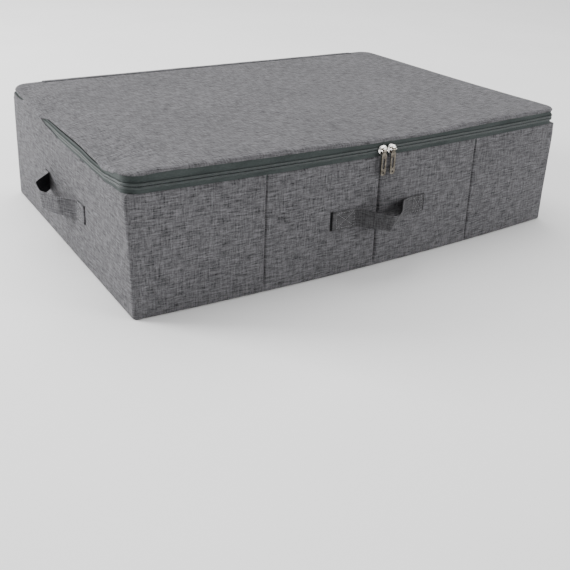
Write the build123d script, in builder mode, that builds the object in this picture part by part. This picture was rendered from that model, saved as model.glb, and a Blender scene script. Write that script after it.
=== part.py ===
"""Under bed box: a low zip-up storage box of linen-look cloth over stiff boards.

All sizes are in millimetres. The origin is the centre of the base's underside, +X runs to the
right along the front, +Y runs to the back and +Z is up. The front wall bows outwards a little.
"""
from build123d import *
import math
import os

# ---- driving dimensions ----
length = 650.0
depth = 450.0
height = 170.0
front_bow = 12.0  # how far the middle of the front wall stands out past its corners

cloth = 1.0
strap = 1.6
board = 2.5
lining = 0.5
seam_gap = 0.1  # air between two layers of one wall

wall_top = 149.0  # upper edge of the cloth walls, where the zip tape starts to show
board_top = 143.0
wall_corner = 5.0
zip_corner = 20.0
corner_wrap = 5.0  # how far a side panel's cloth turns round onto the front and back

section_count = 4  # boards side by side in the front wall and in the back wall
crease_gap = 2.0
crease_depth = 0.4
corner_gap = 6.0  # how far the side walls' boards and linings stop short of the front and back ones
inner_corner = 1.0  # corner radius left at the innermost edge of the boards and the linings

# ---- zip ----
zip_height = 158.0  # where the two rows of coils meet
coil_width = 3.5
coil_gap = 1.0
coil_proud = 0.8  # how far the coils stand out of the wall's outer face
tape = 0.8
lower_tape_bottom = 144.0
tape_under_coil = 2.0
zip_end_x = 290.0  # the zip turns both back corners and ends here on the back
zip_tab_length = 8.5
zip_tab_gap = 0.5

# ---- lid ----
hem_bottom = 165.5
hinge_half = 280.0
hinge_inset = 1.5  # the hinge line lies this far inside the back wall's face and the lid's top
hinge_y = depth / 2 - hinge_inset
hinge_z = height - hinge_inset
hinge_clearance = 2.0
tongue_drop = 2.5  # from the hinge line down to the back wall's upper edge
welt_drop = 1.35  # from the hinge line down to the middle of the seam welt
welt_depth = 3.0
welt_height = 2.1
welt_round = 0.9
back_cut = depth / 4  # half the depth of the cutters along the back, well past every layer

# ---- sliders and pulls ----
slider_length = 13.6
slider_nose = 12.8
slider_tail = 11.2
slider_plate = 2.0
slider_round = 5.2
slider_dome = 1.7  # how far the front plate's edge is rounded over
slider_clearance = 0.5
slider_centres = {"left": -1.0, "right": 13.3}
bail_reach = 2.5  # from the slider's face out to the middle of the bail's bar
bail_radius = 0.8
bail_half = 4.2
lip_height = 1.6
lip_length = 7.6
lip_drop = 5.8  # from the middle of the coils down to the middle of the slider's lips
blade_length = 4.0
blade_height = 0.4
eye_hole = 1.2
eye_radius = 2.0
eye_width = 4.6
pull_length = 32.0
pull_width = 7.6
pull_thickness = 1.3
pull_round = 3.0
pull_slot = 14.0
pull_slot_width = 2.8
pull_slot_rise = 1.0
pull_hole = 1.3
pull_hole_rise = 3.6
neck = 1.2

# ---- handles: a folded cloth strap through two slits, standing out as a loop ----
strap_width = 24.5
strap_gap = 0.15  # air between a strap's sewn end and the wall's cloth
slit_width = 2.4
slit_cut = 4.0  # how far the slits' cutters reach through the wall
strap_tail = 21.0
strap_bend = 0.9
loop_bend = 9.0
foot_bend = 6.0
split_gap = 1.0
front_handle_z = 75.0
side_handle_z = 72.0
slits = {"front": (-68.5, 75.0), "left": (-76.0, 76.0), "right": (-76.0, 76.0)}
loops = {  # the loops' bends, as (along the wall, out from it)
    "front": [(-34.0, 0.0), (-18.0, 19.5), (-3.0, 37.5), (39.0, 4.0), (56.0, 0.0)],
    "side": [(-50.0, 0.0), (-28.0, 17.0), (2.0, 29.0), (34.0, 26.0), (62.0, 0.0)],
}
splits = {"front": (-22.5, 26.0), "left": (-30.0, 45.0), "right": (-30.0, 45.0)}

# ---- loose base board in its sleeve ----
base_board_thickness = 3.0
base_board_inset = 9.5
base_board_end_gap = 0.5
base_gap = 0.3  # air between the base lining and the sleeve
sleeve = 0.5

# ---- layers, as distances in from the outer face of the walls ----
board_in = cloth + seam_gap + strap + seam_gap
lining_in = board_in + board + seam_gap
tape_in = cloth + seam_gap
wall_in = lining_in + lining

bow_radius = ((length / 2) ** 2 + front_bow**2) / (2 * front_bow)
bow_centre = -depth / 2 - front_bow + bow_radius

os.makedirs("parts", exist_ok=True)


def save(builder, name):
    """Label a finished piece and write it."""
    builder.part.label = name
    export_step(builder.part, f"parts/{name}.step")


def front_y(x, inset=0.0):
    """Y of the bowed front wall at x, moved inwards by inset."""
    return bow_centre - math.sqrt((bow_radius - inset) ** 2 - x**2)


def outline(inset, corner):
    """The box's plan shape moved inwards by inset. corner is the corner radius at no inset."""
    side = length / 2 - inset
    back = depth / 2 - inset
    front = front_y(side, inset)
    with BuildSketch() as plan:
        with BuildLine():
            Polyline((-side, front), (-side, back), (side, back), (side, front))
            ThreePointArc((side, front), (0, front_y(0, inset)), (-side, front))
        make_face()
        fillet(plan.vertices(), corner - inset)
    return plan.sketch


def ring(outer, inner, corner):
    """The strip of plan between two insets, right round the box."""
    with BuildSketch() as plan:
        add(outline(outer, corner))
        add(outline(inner, corner), mode=Mode.SUBTRACT)
    return plan.sketch


def slab(plan, window, bottom, top):
    """Extrude the part of a plan inside window = (x0, x1, y0, y1) from bottom up to top."""
    x0, x1, y0, y1 = window
    with BuildPart() as piece:
        with BuildSketch(Plane.XY.offset(bottom)):
            add(plan)
            with Locations(((x0 + x1) / 2, (y0 + y1) / 2)):
                Rectangle(x1 - x0, y1 - y0, mode=Mode.INTERSECT)
        extrude(amount=top - bottom)
    return piece


reach = length  # far enough out to pass the box on every side
cloth_ring = ring(0, cloth, wall_corner)
board_ring = ring(board_in, board_in + board, board_in + board + inner_corner)
lining_ring = ring(lining_in, wall_in, wall_in + inner_corner)
tape_ring = ring(tape_in, tape_in + tape, zip_corner)
coil_ring = ring(-coil_proud, cloth, zip_corner)
hem_ring = ring(0, cloth, zip_corner)

front_half = length / 2 - corner_wrap
section = length / section_count
creases = [section * (k - section_count / 2) for k in range(1, section_count)]

# ---- handles, as plan paths of the strap's middle: tail, slit, end, loop, end, slit, tail ----
strap_out = strap / 2 + strap_gap
strap_inside = cloth + seam_gap + strap / 2
handle_z = {"front": front_handle_z, "left": side_handle_z, "right": side_handle_z}


def on_front(along, out):
    """A point beside the front wall, out millimetres in front of its outer face."""
    return (along, front_y(along) - out)


def on_left(along, out):
    """A point beside the left wall."""
    return (-length / 2 - out, along)


def on_right(along, out):
    """A point beside the right wall."""
    return (length / 2 + out, along)


places = {"front": on_front, "left": on_left, "right": on_right}


def strap_plan(side):
    """The whole strap of one handle, seen from above."""
    first, last = slits[side]
    loop = loops["front" if side == "front" else "side"]
    place = places[side]
    path = [place(first - strap_tail, -strap_inside), place(first, -strap_inside)]
    path += [place(first, strap_out)]
    path += [place(along, strap_out + out) for along, out in loop]
    path += [place(last, strap_out), place(last, -strap_inside)]
    path += [place(last + strap_tail, -strap_inside)]
    bends = [strap_bend, strap_bend, foot_bend, loop_bend, loop_bend, loop_bend, foot_bend]
    bends += [strap_bend, strap_bend]
    with BuildSketch() as plan:
        with BuildLine():
            FilletPolyline(*path, radius=bends)
        trace(line_width=strap)
    return plan.sketch


def strap_piece(side, low, high, bottom, top):
    """The stretch of one handle's strap between low and high along its wall."""
    window = (low, high, -reach, reach) if side == "front" else (-reach, reach, low, high)
    return slab(strap_plan(side), window, bottom, top)


for side, (low, high) in splits.items():
    z0 = handle_z[side] - strap_width / 2
    z1 = handle_z[side] + strap_width / 2
    near = strap_piece(side, -reach, low - split_gap / 2, z0, z1)
    save(near, f"{side}_handle_end_1")
    loop_piece = strap_piece(side, low + split_gap / 2, high - split_gap / 2, z0, z1)
    save(loop_piece, f"{side}_handle_loop")
    far = strap_piece(side, high + split_gap / 2, reach, z0, z1)
    save(far, f"{side}_handle_end_2")


def slit_boxes(side):
    """Cut the two handle slits through a wall's cloth."""
    for along in slits[side]:
        x, y = places[side](along, -cloth / 2)
        across = (slit_width, slit_cut) if side == "front" else (slit_cut, slit_width)
        with Locations((x, y, handle_z[side])):
            Box(*across, strap_width + 2 * seam_gap, mode=Mode.SUBTRACT)


# ---- cloth walls ----
with BuildPart() as base_cloth:
    with BuildSketch():
        add(outline(0, wall_corner))
    extrude(amount=cloth)
save(base_cloth, "base_cloth")

with BuildPart() as front_cloth:
    add(slab(cloth_ring, (-front_half, front_half, -reach, 0), cloth, wall_top).part)
    slit_boxes("front")
    for x in creases:
        with Locations((x, front_y(x), wall_top / 2)):
            Box(crease_gap / 2, 2 * crease_depth, wall_top, mode=Mode.SUBTRACT)
save(front_cloth, "front_cloth")

with BuildPart() as back_cloth:
    add(slab(cloth_ring, (-front_half, front_half, 0, reach), cloth, wall_top).part)
    add(slab(cloth_ring, (-hinge_half, hinge_half, 0, reach), wall_top, hinge_z - tongue_drop).part)
    for x in creases:
        with Locations((x, depth / 2, wall_top / 2)):
            Box(crease_gap / 2, 2 * crease_depth, wall_top, mode=Mode.SUBTRACT)
save(back_cloth, "back_cloth")

for side, x0, x1 in (("left", -reach, -front_half), ("right", front_half, reach)):
    with BuildPart() as side_cloth:
        add(slab(cloth_ring, (x0, x1, -reach, reach), cloth, wall_top).part)
        slit_boxes(side)
    save(side_cloth, f"{side}_cloth")

# ---- stiff boards between cloth and lining ----
board_bottom = 2 * cloth
board_half = length / 2 - board_in - board - seam_gap
side_board_half = depth / 2 - board_in - board - corner_gap
for k in range(section_count):
    x0 = max(-board_half, section * (k - section_count / 2) + crease_gap / 2)
    x1 = min(board_half, section * (k + 1 - section_count / 2) - crease_gap / 2)
    front_board = slab(board_ring, (x0, x1, -reach, 0), board_bottom, board_top)
    save(front_board, f"front_board_{k + 1}")
    back_board = slab(board_ring, (x0, x1, 0, reach), board_bottom, board_top)
    save(back_board, f"back_board_{k + 1}")

for side, x0, x1 in (("left", -reach, 0), ("right", 0, reach)):
    side_board = slab(board_ring, (x0, x1, -side_board_half, side_board_half), board_bottom, board_top)
    save(side_board, f"{side}_board")

# ---- lining ----
lining_half = length / 2 - wall_in - seam_gap
side_lining_half = depth / 2 - wall_in - corner_gap
for name, window in {
    "front_lining": (-lining_half, lining_half, -reach, 0),
    "back_lining": (-lining_half, lining_half, 0, reach),
    "left_lining": (-reach, 0, -side_lining_half, side_lining_half),
    "right_lining": (0, reach, -side_lining_half, side_lining_half),
}.items():
    save(slab(lining_ring, window, board_bottom, board_top), name)

with BuildPart() as base_lining:
    with BuildSketch(Plane.XY.offset(cloth + seam_gap)):
        add(outline(board_in, wall_corner))
    extrude(amount=lining)
save(base_lining, "base_lining")

# ---- zip: tapes and coils turn all four corners and stop on the back ----
coil_bottom = zip_height - coil_gap / 2 - coil_width
coil_top = zip_height + coil_gap / 2 + coil_width
lid_under = height - cloth


def zip_run(plan, bottom, top):
    """A zip row round the front, the sides and the back corners, open along the hinge."""
    with BuildPart() as row:
        add(slab(plan, (-reach, reach, -reach, reach), bottom, top).part)
        with Locations((0, depth / 2, (bottom + top) / 2)):
            Box(2 * zip_end_x, back_cut, 2 * (top - bottom), mode=Mode.SUBTRACT)
    return row


save(zip_run(tape_ring, lower_tape_bottom, coil_bottom + tape_under_coil), "lower_zip_tape")
save(zip_run(coil_ring, coil_bottom, coil_bottom + coil_width), "lower_zip_coil")
save(zip_run(tape_ring, coil_top - tape_under_coil, lid_under - seam_gap), "upper_zip_tape")
save(zip_run(coil_ring, coil_top - coil_width, coil_top), "upper_zip_coil")

for side, sign in (("left", -1), ("right", 1)):
    with BuildPart() as zip_tab:
        x = sign * (zip_end_x - zip_tab_gap - zip_tab_length / 2)
        with Locations((x, depth / 2 - strap, (wall_top + hem_bottom) / 2)):
            Box(zip_tab_length, 2 * strap, hem_bottom - wall_top - 2 * seam_gap)
        fillet(zip_tab.edges().filter_by(Axis.Y), strap)
    save(zip_tab, f"zip_end_{side}")

# ---- seam welt along the top of the back wall, which the lid turns on ----
with BuildPart() as welt:
    with BuildSketch(Plane.YZ.offset(-hinge_half)):
        with Locations((hinge_y, hinge_z - welt_drop)):
            RectangleRounded(welt_depth, welt_height, welt_round)
    extrude(amount=2 * hinge_half)
save(welt, "back_seam_welt")

# ---- lid ----
notch_y = hinge_y - hinge_clearance


def lid_sheet(inset, bottom, thickness):
    """A flat sheet of the lid, notched along the back so that it clears the hinge line."""
    with BuildPart() as sheet:
        with BuildSketch(Plane.XY.offset(bottom)):
            add(outline(inset, zip_corner))
            with Locations((0, notch_y + back_cut)):
                Rectangle(2 * hinge_half + 2 * corner_wrap, 2 * back_cut, mode=Mode.SUBTRACT)
        extrude(amount=thickness)
    return sheet


with BuildPart() as lid_cloth:
    add(lid_sheet(0, lid_under, cloth).part)
    add(zip_run(hem_ring, hem_bottom, lid_under).part)
save(lid_cloth, "lid_cloth")

lid_lining_inset = tape_in + tape + seam_gap
save(lid_sheet(lid_lining_inset, lid_under - seam_gap - lining, lining), "lid_lining")

# ---- sliders: a front plate with its bail, a back plate, and a blade between the coils ----
face_y = front_y(0) - coil_proud - slider_clearance
back_y = front_y(0, tape_in + tape) + slider_clearance
bail_y = face_y - slider_plate - bail_reach


def slider_outline(nose):
    """The slider's tapered outline, its wide end towards nose (+1 or -1 along X)."""
    end = slider_length / 2 - slider_round
    with BuildSketch() as shape:
        with Locations((nose * end, slider_nose / 2 - slider_round)):
            Circle(slider_round)
        with Locations((nose * end, slider_round - slider_nose / 2)):
            Circle(slider_round)
        with Locations((-nose * end, slider_tail / 2 - slider_round)):
            Circle(slider_round)
        with Locations((-nose * end, slider_round - slider_tail / 2)):
            Circle(slider_round)
        make_hull()
    return shape.sketch


def slider(centre, nose):
    """A zip slider centred at x = centre on the front wall."""
    with BuildPart() as body:
        front_plane = Plane((centre, face_y, zip_height), x_dir=(1, 0, 0), z_dir=(0, -1, 0))
        with BuildSketch(front_plane):
            add(slider_outline(nose))
        extrude(amount=slider_plate)
        fillet(body.faces().sort_by(Axis.Y)[0].edges(), slider_dome)
        back_plane = Plane((centre, back_y, zip_height), x_dir=(-1, 0, 0), z_dir=(0, 1, 0))
        with BuildSketch(back_plane):
            add(slider_outline(-nose))
        extrude(amount=slider_plate)
        for near, far in (
            (face_y, front_y(0, tape_in) - slider_clearance),
            (front_y(0, tape_in + tape) + slider_clearance - seam_gap, back_y),
        ):
            with Locations((centre, (near + far) / 2, zip_height - lip_drop)):
                Box(lip_length, abs(far - near) + seam_gap, lip_height)
        blade_y = (face_y + back_y) / 2
        with Locations((centre + nose * slider_length / 4, blade_y, zip_height)):
            Box(blade_length, back_y - face_y + seam_gap, blade_height)
        with BuildSketch(Plane.YZ.offset(centre - bail_half)):
            with Locations((bail_y, zip_height)):
                Circle(bail_radius)
        extrude(amount=2 * bail_half)
        for end in (-1, 1):
            foot_x = centre + end * (bail_half - bail_radius)
            foot_mid = (bail_y + face_y - slider_plate / 2) / 2
            with Locations((foot_x, foot_mid, zip_height)):
                Box(2 * bail_radius, face_y - slider_plate / 2 - bail_y, 2 * bail_radius)
    return body


def pull(centre):
    """A flat pull with a long slot, hanging by the eye at its top from a slider's bail."""
    top = zip_height - eye_radius - neck
    bottom = zip_height - pull_length
    with BuildPart() as body:
        with BuildSketch(Plane.YZ.offset(centre - eye_width / 2)):
            with Locations((bail_y, zip_height)):
                Circle(eye_radius)
            with Locations((bail_y, zip_height - eye_radius)):
                Rectangle(pull_thickness, 2 * eye_radius)
            with Locations((bail_y, zip_height)):
                Circle(eye_hole, mode=Mode.SUBTRACT)
        extrude(amount=eye_width)
        tab_plane = Plane((centre, bail_y, 0), x_dir=(1, 0, 0), z_dir=(0, -1, 0))
        with BuildSketch(tab_plane):
            with Locations((0, (top + bottom) / 2)):
                RectangleRounded(pull_width, top - bottom, pull_round)
            with Locations((0, (top + bottom) / 2 + pull_slot_rise)):
                SlotOverall(pull_slot, pull_slot_width, rotation=90, mode=Mode.SUBTRACT)
            with Locations((0, bottom + pull_hole_rise)):
                Circle(pull_hole, mode=Mode.SUBTRACT)
        extrude(amount=pull_thickness / 2, both=True)
    return body


for side, nose in (("left", 1), ("right", -1)):
    save(slider(slider_centres[side], nose), f"{side}_slider")
    save(pull(slider_centres[side]), f"{side}_pull")

# ---- loose base board in a cloth sleeve, resting on the base ----
sleeve_bottom = cloth + seam_gap + lining + base_gap
sleeve_height = base_board_thickness + 2 * sleeve + 2 * seam_gap
board_z = sleeve_bottom + sleeve_height / 2
base_x = length - 2 * base_board_inset
base_y = depth - 2 * base_board_inset
with BuildPart() as base_board:
    with Locations((0, 0, board_z)):
        Box(base_x - 2 * base_board_end_gap, base_y - 2 * sleeve - 2 * seam_gap, base_board_thickness)
save(base_board, "base_board")

with BuildPart() as base_sleeve:
    with Locations((0, 0, board_z)):
        Box(base_x, base_y, sleeve_height)
        Box(base_x, base_y - 2 * sleeve, sleeve_height - 2 * sleeve, mode=Mode.SUBTRACT)
save(base_sleeve, "base_board_sleeve")
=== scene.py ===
"""Looks for the under bed box: linen-look cloth over boards, a zip right round and strap handles."""
import math

import bmesh
import bpy
import numpy as np
from mathutils import Matrix, Vector, noise


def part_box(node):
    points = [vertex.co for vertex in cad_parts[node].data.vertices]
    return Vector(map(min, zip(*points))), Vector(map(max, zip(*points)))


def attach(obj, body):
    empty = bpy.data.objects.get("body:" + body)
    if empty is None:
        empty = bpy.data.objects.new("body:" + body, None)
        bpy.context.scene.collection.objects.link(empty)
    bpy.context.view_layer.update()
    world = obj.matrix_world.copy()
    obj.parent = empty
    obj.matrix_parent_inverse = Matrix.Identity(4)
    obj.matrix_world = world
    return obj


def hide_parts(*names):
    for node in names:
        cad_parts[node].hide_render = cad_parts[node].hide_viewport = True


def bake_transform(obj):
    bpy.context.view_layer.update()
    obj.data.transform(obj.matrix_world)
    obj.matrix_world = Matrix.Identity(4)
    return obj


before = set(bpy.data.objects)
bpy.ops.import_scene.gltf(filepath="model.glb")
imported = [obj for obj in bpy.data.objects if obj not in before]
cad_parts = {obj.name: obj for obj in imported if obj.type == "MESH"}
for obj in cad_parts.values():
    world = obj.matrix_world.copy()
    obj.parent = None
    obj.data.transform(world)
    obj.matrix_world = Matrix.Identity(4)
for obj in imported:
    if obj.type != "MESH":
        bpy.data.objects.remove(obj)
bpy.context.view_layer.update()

MM = 0.001

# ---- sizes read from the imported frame, in metres ----
lid_low, lid_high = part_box("lid_cloth")
HALF_X, HALF_Y, TOP = lid_high
BOW = -lid_low[1] - HALF_Y
WALL_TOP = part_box("front_cloth")[1][2]
TONGUE_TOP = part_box("back_cloth")[1][2]
TONGUE_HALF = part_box("back_seam_welt")[1][0]
BOARD_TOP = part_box("front_board_1")[1][2]
ZIP_Z = (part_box("lower_zip_coil")[1][2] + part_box("upper_zip_coil")[0][2]) / 2
TAB_GROWTH = 0.5 * MM  # the zip's end tabs reach this far past their CAD boxes, over the tape's ends
ZIP_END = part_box("zip_end_right")[1][0] + TAB_GROWTH
TAPE_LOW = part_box("lower_zip_tape")[0][2]
LINING_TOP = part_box("front_lining")[1][2]
SECTION = HALF_X / 2
ZONE = 20 * MM  # length of wall given to each corner, and the zip's corner radius
CLOTH = 1.0 * MM
LINING = 0.4 * MM
BOW_RADIUS = (HALF_X**2 + BOW**2) / (2 * BOW)

HEADINGS = {"back": (-1, 0), "left": (0, -1), "front": (1, 0), "right": (0, 1)}
LONG = ("front", "back")


def handles(front, end):
    """One value for the front handle and one that both end handles share."""
    return {"front": front, "left": end, "right": end}


# ---- small helpers ----
def smooth(value, low, high):
    """0 below low, 1 above high, and a soft step between them."""
    t = min(max((value - low) / (high - low), 0.0), 1.0)
    return t * t * (3 - 2 * t)


def window(value, low, high, soft):
    """1 between low and high, fading to 0 over soft on each side."""
    return smooth(value, low - soft, low) * (1 - smooth(value, high, high + soft))


def follow(points, value):
    """The height at value of a soft line through (place, height) points."""
    for (a, ya), (b, yb) in zip(points, points[1:]):
        if value <= b:
            return ya + (yb - ya) * smooth(value, a, b)
    return points[-1][1]


def ripple(x, y, z, size, seed):
    return noise.noise(Vector((x / size + seed, y / size, z / size)))


def spaced(low, high, step, special=()):
    """Even places from low to high, with the special ones kept exactly."""
    count = max(1, round((high - low) / step))
    fixed = [low, high] + [s for s in special if low < s < high]
    even = [low + (high - low) * k / count for k in range(1, count)]
    free = [e for e in even if min(abs(e - f) for f in fixed) > step * 0.45]
    return sorted(fixed + free)


def bowed(x, y):
    """y moved with the front wall's outward bow, which fades to nothing at the back."""
    inside = min(abs(x), HALF_X)
    out = math.sqrt(BOW_RADIUS**2 - inside**2) - (BOW_RADIUS - BOW)
    return y - out * min(max((HALF_Y - y) / (2 * HALF_Y), 0.0), 1.0)


# how far the left side's soft top has sunk, along it: at the wall's top edge and at the lid's edge
WALL_SINK = [(-225, 0), (-187, 2.5), (-155, 6.5), (-110, 7), (-60, 7), (-5, 6), (55, 1), (100, 0), (225, 0)]
EDGE_SINK = [(-225, 0), (-205, 1), (-177, 6), (-147, 11), (-115, 12), (-55, 9.5), (45, 9), (80, 9.5)]
EDGE_SINK += [(120, 8), (159, 6), (190, 6), (206, 3), (225, 1)]
LEFT_LEAN = [(-225, 6), (-190, 4), (-130, 1), (-70, 0), (225, 0)]  # how far its top edge leans out
RIGHT_LEAN = [(-225, 4), (-190, 3), (-140, 1), (-90, 0), (225, 0)]
LID_EDGE_Z = 168 * MM
UNEVEN_FULL, UNEVEN_GONE = 4 * MM, 60 * MM  # in from a side's face
SINK_FROM = 95 * MM
LEAN_CURVE = 1.3


def settle(p):
    """The left side's top has sunk, the lid slopes down to it, and both front corners lean out."""
    near = 1 - smooth(-abs(p.x), -HALF_X + UNEVEN_FULL, -HALF_X + UNEVEN_GONE)
    if near <= 0:
        return p
    y = p.y / MM
    upright = near * min(p.z / WALL_TOP, 1.0) ** LEAN_CURVE
    if p.x > 0:
        return Vector((p.x + follow(RIGHT_LEAN, y) * upright * MM, p.y, p.z))
    low, high = follow(WALL_SINK, y), follow(EDGE_SINK, y)
    above = min(max((p.z - WALL_TOP) / (LID_EDGE_Z - WALL_TOP), 0.0), 1.0)
    rising = smooth(p.z, SINK_FROM, WALL_TOP)
    drop = low * rising + (high - low) * above
    return Vector((p.x - follow(LEFT_LEAN, y) * upright * MM, p.y, p.z - drop * near * MM))


def plan(station, radius=ZONE):
    """The wall line's point and outward direction at a station (wall, place along it, turn)."""
    wall, along, turn = station
    ux, uy = HEADINGS[wall]
    nx, ny = uy, -ux
    half, far = (HALF_X, HALF_Y) if ux else (HALF_Y, HALF_X)
    if turn is None:
        return ux * along + nx * far, uy * along + ny * far, nx, ny
    straight, arc = ZONE - radius, radius * math.pi / 2
    gone = turn * (2 * straight + arc)
    angle = min(max((gone - straight) / radius, 0.0), math.pi / 2)
    before = half - radius * (1 - math.sin(angle)) - max(straight - gone, 0.0)
    after = radius * (1 - math.cos(angle)) + max(gone - straight - arc, 0.0)
    x = ux * before + nx * (far - after)
    y = uy * before + ny * (far - after)
    c, s = math.cos(angle), math.sin(angle)
    return x, y, nx * c + ux * s, ny * c + uy * s


def place(station, out, z, radius=ZONE):
    """A point out from the wall line at height z."""
    x, y, nx, ny = plan(station, radius)
    x, y = x + nx * out, y + ny * out
    return settle(Vector((x, bowed(x, y), z)))


def straight_run(wall, low, high, step, special=()):
    return [(wall, c, None) for c in spaced(low, high, step, special)]


def corner_run(wall, count, first=0, last=None):
    """Stations round the corner at the end of a wall, without its two ends."""
    last = count if last is None else last
    return [(wall, None, k / count) for k in range(max(first, 1), min(last, count - 1) + 1)]


def zip_run(step):
    """Stations of the whole zip: back left end, left side, front, right side, back right end."""
    end_x, end_y = HALF_X - ZONE, HALF_Y - ZONE
    turns = max(6, round(ZONE * 1.57 / step))
    run = straight_run("back", ZIP_END, end_x, step) + corner_run("back", turns)
    for wall, end in (("left", end_y), ("front", end_x), ("right", end_y)):
        run += straight_run(wall, -end, end, step) + corner_run(wall, turns)
    return run + straight_run("back", -end_x, -ZIP_END, step)


# ---- meshes ----
SHARP = 55  # edges that turn more than this many degrees look sharp


def make(name, points, faces, weave, sharp=SHARP):
    """A mesh object with a flat thread layout in metres for its weave."""
    mesh = bpy.data.meshes.new(name)
    mesh.from_pydata([tuple(p) for p in points], [], faces)
    layer = mesh.uv_layers.new(name="weave")
    corners = np.empty(len(mesh.loops), np.int32)
    mesh.loops.foreach_get("vertex_index", corners)
    layer.data.foreach_set("uv", np.array(weave, np.float32)[corners].ravel())
    solid = bmesh.new()
    solid.from_mesh(mesh)
    if solid.calc_volume(signed=True) < 0:
        mesh.flip_normals()
    solid.free()
    mesh.shade_smooth()
    mesh.set_sharp_from_angle(angle=math.radians(sharp))
    mesh.validate()
    piece = bpy.data.objects.new(name, mesh)
    bpy.context.scene.collection.objects.link(piece)
    return piece


def grid_faces(columns, rows, skip=None):
    return [
        (i * rows + j, (i + 1) * rows + j, (i + 1) * rows + j + 1, i * rows + j + 1)
        for i in range(columns - 1)
        for j in range(rows - 1)
        if not (skip and skip(i, j))
    ]


def flipped(faces):
    return [tuple(reversed(f)) for f in faces]


def tube_faces(rings, n):
    """Faces round rings of n points each, and the two ends."""
    faces = [
        (i * n + j, (i + 1) * n + j, (i + 1) * n + (j + 1) % n, i * n + (j + 1) % n)
        for i in range(rings - 1)
        for j in range(n)
    ]
    return faces + [tuple(range(n)), tuple(reversed(range((rings - 1) * n, rings * n)))]


def thick(name, points, faces, weave, thickness, sharp=SHARP):
    """A sheet of real thickness: the points are its shown side, the other side lies behind them."""
    p = np.array([tuple(v) for v in points])
    normals = np.zeros_like(p)
    for f in faces:
        across = np.cross(p[f[2]] - p[f[0]], p[f[-1]] - p[f[1]])
        normals[list(f)] += across
    normals /= np.maximum(np.linalg.norm(normals, axis=1), 1e-12)[:, None]
    count = len(p)
    used = {e for f in faces for e in zip(f, f[1:] + f[:1])}
    rim = [(b, a, a + count, b + count) for a, b in sorted(used) if (b, a) not in used]
    behind = [tuple(v + count for v in f) for f in flipped(faces)]
    both = np.concatenate([p, p - normals * thickness])
    return make(name, both, faces + behind + rim, list(weave) * 2, sharp)


def lengths(points):
    """Running length along a line of points."""
    total = [0.0]
    for a, b in zip(points, points[1:]):
        total.append(total[-1] + (b - a).length)
    return total


def swept(name, stations, section):
    """A closed section, a loop of (out, z) from section(station, run), swept along the stations."""
    run = lengths([place(s, 0, 0) for s in stations])
    points, weave = [], []
    for station, s in zip(stations, run):
        loop = section(station, s)
        points += [place(station, out, z) for out, z in loop]
        weave += [(s, z - out) for out, z in loop]
    return make(name, points, tube_faces(len(stations), len(loop)), weave)


def finish_piece(piece, material, body=None, replaces=()):
    piece.data.materials.clear()
    piece.data.materials.append(material)
    if body:
        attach(piece, body)
    if replaces:
        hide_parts(*replaces)
    return piece


# ---- materials ----
class Finish:
    """A node material round one principled shader."""

    def __init__(self, name, **settings):
        self.material = bpy.data.materials.new(name)
        self.material.use_nodes = True
        self.tree = self.material.node_tree
        self.shader = next(n for n in self.tree.nodes if n.type == "BSDF_PRINCIPLED")
        for key, value in settings.items():
            self.shader.inputs[key.replace("_", " ")].default_value = value

    def node(self, kind, settings=None, **inputs):
        made = self.tree.nodes.new("ShaderNode" + kind)
        for key, value in (settings or {}).items():
            setattr(made, key, value)
        for key, value in inputs.items():
            self.put(made, key.replace("_", " "), value)
        return made

    def put(self, made, key, value):
        socket = made.inputs[int(key[1:])] if key[0] == "i" and key[1:].isdigit() else made.inputs[key]
        if hasattr(value, "links"):
            self.tree.links.new(value, socket)
        else:
            socket.default_value = value

    def math(self, operation, a, b=0.0, c=0.0):
        return self.node("Math", {"operation": operation}, i0=a, i1=b, i2=c).outputs[0]

    def scaled(self, vector, *by):
        return self.node("VectorMath", {"operation": "MULTIPLY"}, i0=vector, i1=by).outputs[0]

    def weave_at(self, across, along):
        """The cloth's own flat layout, scaled."""
        return self.scaled(self.node("UVMap", {"uv_map": "weave"}).outputs[0], across, along, 1.0)

    def threads(self, scale):
        """The layout's two directions, along a panel and across it."""
        return self.node("SeparateXYZ", i0=self.weave_at(scale, scale)).outputs[:2]

    def wave(self, value, pitch):
        return self.math("SINE", self.math("MULTIPLY", value, 2 * math.pi / pitch))

    def noise(self, vector, scale=1.0, detail=2.0, roughness=0.55):
        made = self.node("TexNoise", Vector=vector, Scale=scale, Detail=detail, Roughness=roughness)
        return made.outputs[0]

    def ramp(self, value, *stops):
        made = self.node("ValToRGB", Fac=value)
        ramp = made.color_ramp
        while len(ramp.elements) < len(stops):
            ramp.elements.new(0.5)
        for element, (position, colour) in zip(ramp.elements, stops):
            element.position = position
            element.color = (*colour, 1.0)
        return made.outputs[0]

    def colours(self, tone, low, dark, high, light):
        self.put(self.shader, "Base Color", self.ramp(tone, (low, dark), (high, light)))

    def rough(self, value, low, high):
        spread = self.node("MapRange", i0=value, i1=0.0, i2=1.0, i3=low, i4=high)
        self.put(self.shader, "Roughness", spread.outputs[0])

    def bump(self, height, distance, strength=1.0):
        made = self.node("Bump", Height=height, Distance=distance, Strength=strength)
        self.put(self.shader, "Normal", made.outputs[0])


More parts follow.
